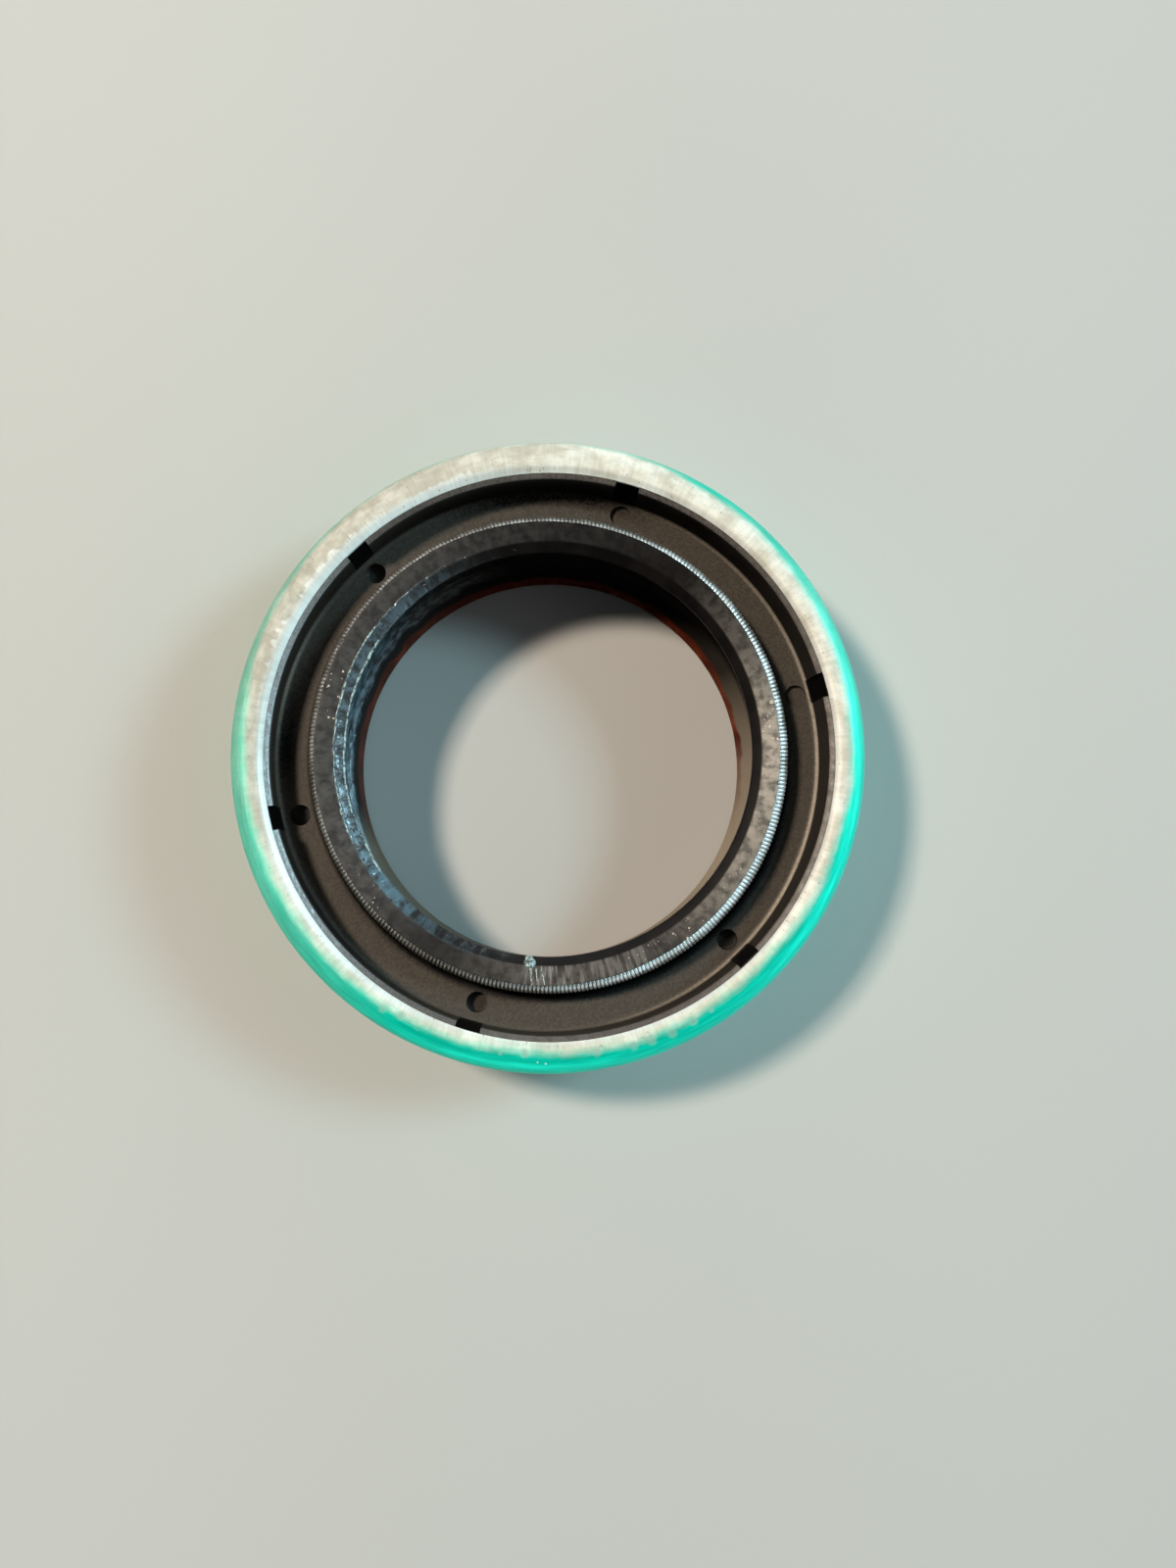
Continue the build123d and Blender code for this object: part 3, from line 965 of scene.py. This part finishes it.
# %% Smudge the lip's face and the skin, and paint a reflection on the skin and shade in the notches
face_middle_r = 15.5
patches = add_node(tree, "TexNoise", where["place"], Scale=1.5, Detail=4.0, Roughness=0.55, Distortion=0.2)
streaks = ring_noise(where, 0.6, 1.6, 4.0, face_middle_r)
patches = add_node(tree, "Mix", 0.35, patches, streaks, data_type="FLOAT")
smears = ring_noise(where, 0.45, 2.2, 3.0, face_middle_r)
on_lip = all_of(where, (radius, stem_outer_r, moat_outer_r, 1.0, 0.0))
on_face = all_of(where, (height, lip_face_inner_z - 0.1, lip_face_inner_z))
dust_and_painted_light = lay_over(where, dust_and_painted_light, "#5f5b59", on_face, (patches, 0.36, 0.64, 0.4, 1.2), {
    0: 0.5, 30: 0.14, 50: 0.02, 90: 0.14, 120: 0.3, 150: 0.36, 215: 0.48, 238: 0.1, 258: 0.15, 300: 0.1})
dust_and_painted_light = lay_over(where, dust_and_painted_light, "#a1968a", on_face, (patches, 0.38, 0.6, 0.3, 1.0), {
    0: 1, 12: 0.7, 28: 0.18, 55: 0, 240: 0, 268: 0.15, 300: 0.06, 322: 0.35, 342: 0.75})
dust_and_painted_light = lay_over(where, dust_and_painted_light, "#8f8b86", on_face, on_lip, (smears, 0.46, 0.62), {
    0: 0, 262: 0, 267: 0.7, 273: 0.45, 280: 0.25, 294: 0.3, 305: 0})

on_skin = all_of(where, (height, skin_z - 0.25, skin_z - 0.1))
dust_and_painted_light = lay_over(where, dust_and_painted_light, "#57504b", on_skin, on_outer_part, (dust_grain, 0.3, 0.7, 0.4, 0.9), {
    0: 1, 95: 1, 120: 0.5, 150: 0.8, 235: 0.9, 270: 0.15, 295: 0.9})
# bluish grey on the skin on one side: painted reflection
dust_and_painted_light = lay_over(where, dust_and_painted_light, "#808a90", on_skin, on_outer_part, (dust_grain, 0.3, 0.7, 0.5, 1.0), {
    0: 0, 128: 0, 150: 0.4, 178: 1, 205: 0.95, 235: 0.2, 300: 0})

# the azimuth is counted in marks, so that each notch lies at one half
notch_count = add_node(tree, "Math", where["azimuth"], mark_count, 0.5 - mark_angle * mark_count / 360,
                       operation="MULTIPLY_ADD")
within_mark = add_node(tree, "Math", notch_count, operation="FRACT")
from_notch = add_node(tree, "Math", within_mark, 0.5, operation="SUBTRACT")
from_notch = add_node(tree, "Math", from_notch, operation="ABSOLUTE")
notch_share = notch_length / 2 / (math.tau * wall_top_r) * mark_count
# near black in the notches: painted shade
dust_and_painted_light = lay_over(where, dust_and_painted_light, "#030303", on_wall, on_outer_part,
                 (from_notch, notch_share * 0.98, notch_share * 1.02, 1.0, 0.0))

# %% [markdown]
# ### Moulded nitrile rubber: oil on the cones, painted reflections, and the dust lip
# Oil wets the cones inside the lip on one side and makes them glossy. It is a clear coat
# over the rubber, and it stands in a little ridge along its edge. Under it the rubber is
# painted bluish grey, and lighter bluish in streaks on the air side: painted reflections.
# The dust lip stays dry. Its upper face is lighter grey-beige on most sides, and its tip is
# stained red-brown on two sides.

# %% Wet the cones, paint their reflections, and stain the dust lip
cone_middle_r = 14.7
tip_edge = add_node(tree, "Math", height, all_of(where, (mottle, 0.3, 0.7, -0.08, 0.08)), operation="ADD")
film = ring_noise(where, 0.7, 0.4, 4.0, cone_middle_r)
wandering_r = add_node(tree, "Math", film, 0.5, radius, operation="MULTIPLY_ADD")
film_edge_r = lip_face_inner_r + 0.3
below_lip = all_of(where, (height, air_cone_end_z, air_cone_end_z + 1, 1.0, 0.0))
inside_film = all_of(where, (wandering_r, film_edge_r, film_edge_r + 0.1, 1.0, 0.0))
wet_and_painted_reflection = all_of(where, {0: 0, 102: 0, 118: 0.7, 140: 1, 225: 1, 240: 0.5, 258: 0.15, 262: 0},
             add_node(tree, "Math", inside_film, below_lip, operation="MAXIMUM"),
             (tip_edge, dust_land_z + 0.48, dust_land_z + 0.68), (film, 0.36, 0.6, 0.35, 1.0))
# bluish grey under the wet film: painted reflection
dust_and_painted_light = lay_over(where, dust_and_painted_light, "#4a6a78", wet_and_painted_reflection, (film, 0.4, 0.6, 0.1, 1.0), {
    0: 0, 112: 0, 135: 0.3, 185: 0.35, 205: 0.75, 228: 0.6, 245: 0.2, 262: 0})
painted_reflection_streaks = ring_noise(where, 2.6, 0.2, 4.0, cone_middle_r)
# lighter bluish streaks on the air side: painted reflection
dust_and_painted_light = lay_over(where, dust_and_painted_light, "#7396a6", wet_and_painted_reflection, below_lip, (painted_reflection_streaks, 0.35, 0.65), {
    0: 0, 132: 0, 150: 0.3, 175: 0.8, 195: 0.9, 208: 0.6, 225: 0})

# lighter grey-beige on the dust lip's upper face, by azimuth
dust_and_painted_light = lay_over(where, dust_and_painted_light, "#857a6b", (height, dust_knee_z + 0.5, dust_knee_z), {
    0: 0.7, 14: 0.4, 28: 0.06, 50: 0, 192: 0, 206: 0.6, 228: 0.6, 260: 0.5, 330: 1})
stain = lay_over(where, "#3d160a", "#652913", (mottle, 0.3, 0.7))
dust_and_painted_light = lay_over(where, dust_and_painted_light, stain, (tip_edge, dust_land_z + 0.16, dust_land_z + 0.34, 1.0, 0.0), {
    0: 0.6, 8: 1, 22: 0.8, 45: 0.8, 178: 1, 200: 0.35, 222: 0, 340: 0})
link(dust_and_painted_light, shader.inputs["Base Color"])

# handled skin shines like the wet cones, so it shares their coat
rim_sheen = all_of(where, on_skin, on_outer_part, {
    0: 0, 90: 0, 130: 0.5, 165: 1, 215: 0.9, 245: 0.2, 260: 0})
link(add_node(tree, "Math", wet_and_painted_reflection, rim_sheen, operation="MAXIMUM"), shader.inputs["Coat Weight"])
ridge = all_of(where, (wandering_r, film_edge_r - 0.16, film_edge_r - 0.08),
               (wandering_r, film_edge_r - 0.06, film_edge_r + 0.04, 1.0, 0.0))
film_height = add_node(tree, "Math", ridge, 0.5, film, operation="MULTIPLY_ADD")
link(add_node(tree, "Bump", Strength=1.0, Distance=0.14 * MM, Height=film_height), shader.inputs["Coat Normal"])

rubber_roughness = 0.5
face_rough = all_of(where, (patches, 0.35, 0.65, 0.48, 0.36))
rough = add_node(tree, "Mix", on_face, rubber_roughness, face_rough, data_type="FLOAT")
link(rough, shader.inputs["Roughness"])
link(add_node(tree, "Bump", Strength=0.6, Distance=0.015 * MM, Height=dust_grain), shader.inputs["Normal"])
print(rubber_finish.name, "has", len(tree.nodes), "nodes")

# %% [markdown]
# ### Drawn spring wire
# The garter spring is wound from bright drawn wire. The outside of each turn is polished,
# and the valleys between the turns are darker, so the colour goes by the distance from the
# middle of the coil. On one side of the ring the wire is painted dull and brown as painted
# shade, and opposite it the valleys are painted bright as painted highlight.

# %% Spring finish
wire_finish, tree, shader = new_finish("drawn_spring_wire", metallic=1.0)
where = ring_place(tree)
from_ring = add_node(tree, "Math", where["radius"], spring_r, operation="SUBTRACT")
from_plane = add_node(tree, "Math", where["height"], spring_z, operation="SUBTRACT")
from_core = add_node(tree, "VectorMath", add_node(tree, "CombineXYZ", from_ring, from_plane), operation="LENGTH")
tarnish = ring_noise(where, 1.6, 1.0, 3.0, spring_r)
crown_and_painted_shade = lay_over(where, "#cbc8c2", "#eceded", (tarnish, 0.35, 0.65))
# dull brown on one side of the ring: painted shade
crown_and_painted_shade = lay_over(where, crown_and_painted_shade, "#7d786f", {0: 0, 60: 0, 90: 0.15, 170: 0.1, 205: 0.6, 240: 1, 265: 0.6, 287: 0})
# bright valleys on the other side: painted highlight
valley_and_painted_highlight = lay_over(where, "#2a2724", "#d5dde0", {0: 1, 55: 1, 90: 0.2, 105: 0, 275: 0, 320: 0.5, 345: 1})
coil_r = coil_diameter / 2
colour = lay_over(where, valley_and_painted_highlight, crown_and_painted_shade, (from_core, coil_r - 0.7 * wire_diameter, coil_r - 0.15 * wire_diameter))
link(colour, shader.inputs["Base Color"])
link(all_of(where, (tarnish, 0.3, 0.7, 0.4, 0.54)), shader.inputs["Roughness"])

# %% [markdown]
# ### Oil and dried grease
# Gear oil is clear, and a thin bead of it on black rubber looks black with a hard
# highlight. The hanging drop, its streaks and the run along the cone's edges are oil too,
# with a softer shine, and their colour is a painted bluish-white highlight, lighter in
# clouds. Dried grease is a dull tan paste with dust in it.

# %% Oil and grease finishes
loose_finishes = {}
for name, noise_scale, detail, (start, end), dark, light, rough in [
    ("gear_oil", 2.5, 2.0, (0.35, 0.65), "#10161c", "#1f2a33", (0.06, 0.16)),
    # the light bluish-white colour of this oil is a painted highlight
    ("oil_with_painted_highlight", 4.0, 2.0, (0.3, 0.7), "#2b3739", "#9aadac", (0.14, 0.3)),
    ("dried_grease", 7.0, 3.0, (0.35, 0.65), "#6b5d4e", "#cfc3b2", None),
]:
    loose_finishes[name], tree, shader = new_finish(name, 0.6)
    where = ring_place(tree)
    cloudy = add_node(tree, "TexNoise", where["place"], Scale=noise_scale, Detail=detail)
    link(lay_over(where, dark, light, (cloudy, start, end)), shader.inputs["Base Color"])
    if rough:
        link(all_of(where, (cloudy, 0.3, 0.7, *rough)), shader.inputs["Roughness"])
    else:
        link(add_node(tree, "Bump", Strength=0.8, Distance=0.02 * MM, Height=cloudy), shader.inputs["Normal"])
print("finishes:", case_finish.name, rubber_finish.name, wire_finish.name, *loose_finishes)

# %% [markdown]
# ## Which solid each piece stands for
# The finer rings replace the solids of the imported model. Everything rides on the one body.

# %% Dress the frame
for piece, finish in [
    (case_shell, case_finish),
    (sealing_rubber, rubber_finish),
    (spring_coil, wire_finish),
    (oil_beads, loose_finishes["gear_oil"]),
    (oil_edge, loose_finishes["oil_with_painted_highlight"]),
    (hanging_drop, loose_finishes["oil_with_painted_highlight"]),
    (dried_grease, loose_finishes["dried_grease"]),
]:
    piece.data.materials.clear()
    piece.data.materials.append(finish)
    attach(piece, "root")
for piece, node, slot in [
    (case_shell, "steel_case", "coated_steel"),
    (sealing_rubber, "rubber_element", "nitrile_rubber"),
    (spring_coil, "garter_spring", "spring_wire"),
]:
    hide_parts(node)
    print(f"{piece.name} stands for {node}")

# %% [markdown]
# ## Studio
# The seal lies on a plain pale floor, like a sheet of paper.

# %% Floor
deselect_everything()
bpy.ops.mesh.primitive_plane_add(size=3)
floor = bpy.context.object
floor.name = "floor"
floor_finish, tree, shader = new_finish("pale_paper", 0.8)
shader.inputs["Base Color"].default_value = linear("#adaba7")
floor.data.materials.append(floor_finish)

# %% [markdown]
# A small warm key light stands high on the left and throws the rim's soft shadow onto the
# rubber. The other four are cool, like windows. A wide one stands low on the right and
# draws the bright lines on the spring, the lip and the lacquered edge, and a small one
# above it lights the inside of the lip across from it. Weak ones stand low at the back and
# at the front.

# %% Lights
def lamp(name, azimuth, elevation, distance, size, power, colour):
    """An area light that looks at the seal from an azimuth and an elevation in degrees."""
    deselect_everything()
    turn, rise = math.radians(azimuth), math.radians(elevation)
    place = Vector((math.cos(turn) * math.cos(rise), math.sin(turn) * math.cos(rise), math.sin(rise))) * distance
    bpy.ops.object.light_add(type="AREA", location=place)
    light = bpy.context.object
    light.name = name
    light.rotation_euler = place.to_track_quat("Z", "Y").to_euler()
    light.data.shape = "RECTANGLE"
    light.data.size, light.data.size_y = size
    light.data.energy = power
    light.data.color = linear(colour)[:3]
    print(f"{name}: {power} W")


lamp("key_light", 150, 56, 0.6, (0.08, 0.08), 4.0, "#fff1e0")
lamp("high_window", 20, 41, 0.7, (0.16, 0.16), 3.1, "#b4e4f2")
lamp("low_window", -6, 6, 0.7, (1.0, 0.2), 4.4, "#a8e0f0")
lamp("back_window", 88, 10, 0.7, (0.4, 0.14), 1.2, "#eaf2f6")
lamp("front_window", 262, 13, 0.7, (0.5, 0.15), 1.6, "#e2f2f2")

# %% [markdown]
# The sky is a grey haze that is brightest near the horizon and brighter again on the right,
# where it backs the wide window. It fills the shadows and gives the steel something soft to
# reflect.

# %% Sky
world = bpy.data.worlds.new("studio")
bpy.context.scene.world = world
world.use_nodes = True
tree = world.node_tree
sky = tree.nodes["Background"]
sky.inputs["Color"].default_value = linear("#d6dcde")
towards = add_node(tree, "SeparateXYZ", add_node(tree, "TexCoord").outputs["Generated"]).outputs
haze = add_node(tree, "MapRange", towards["Z"], 0.05, 0.6, 0.5, 0.09, **smoothly)
on_right = add_node(tree, "MapRange", towards["X"], 0.3, 0.75, 0.0, 0.78, **smoothly)
above_floor = add_node(tree, "MapRange", towards["Z"], 0.05, 0.25, **smoothly)
bright_side = add_node(tree, "Math", on_right, above_floor, operation="MULTIPLY")
link(add_node(tree, "Math", haze, bright_side, operation="ADD"), sky.inputs["Strength"])

# %% [markdown]
# ## Camera
# The camera stands about 80 mm over the seal and sees it with a wide lens, nearly square
# on. The lens and the place of the rim before it are given as the camera sees them, and
# turned back into the seal's frame.

# %% Place the camera
camera_lens = 27
camera_tilt_x = 4.5  # degrees
camera_tilt_y = -1.2
rim_in_camera = Vector((-2.70, 2.36, -82.16)) * MM
tilt_y = Matrix.Rotation(math.radians(camera_tilt_y), 3, "Y")
tilt_x = Matrix.Rotation(math.radians(camera_tilt_x), 3, "X")
turn_back = tilt_y @ tilt_x
camera_place = Vector((0, 0, seal_width * MM)) - turn_back @ rim_in_camera
deselect_everything()
bpy.ops.object.camera_add()
camera = bpy.context.object
camera.matrix_world = Matrix.Translation(camera_place) @ turn_back.to_4x4()
camera.data.lens = camera_lens
camera.data.sensor_width = 36
camera.data.clip_start = 0.005
bpy.context.scene.camera = camera
bpy.context.scene.view_settings.view_transform = "Standard"
print("camera at, mm:", [round(v / MM, 1) for v in camera_place])
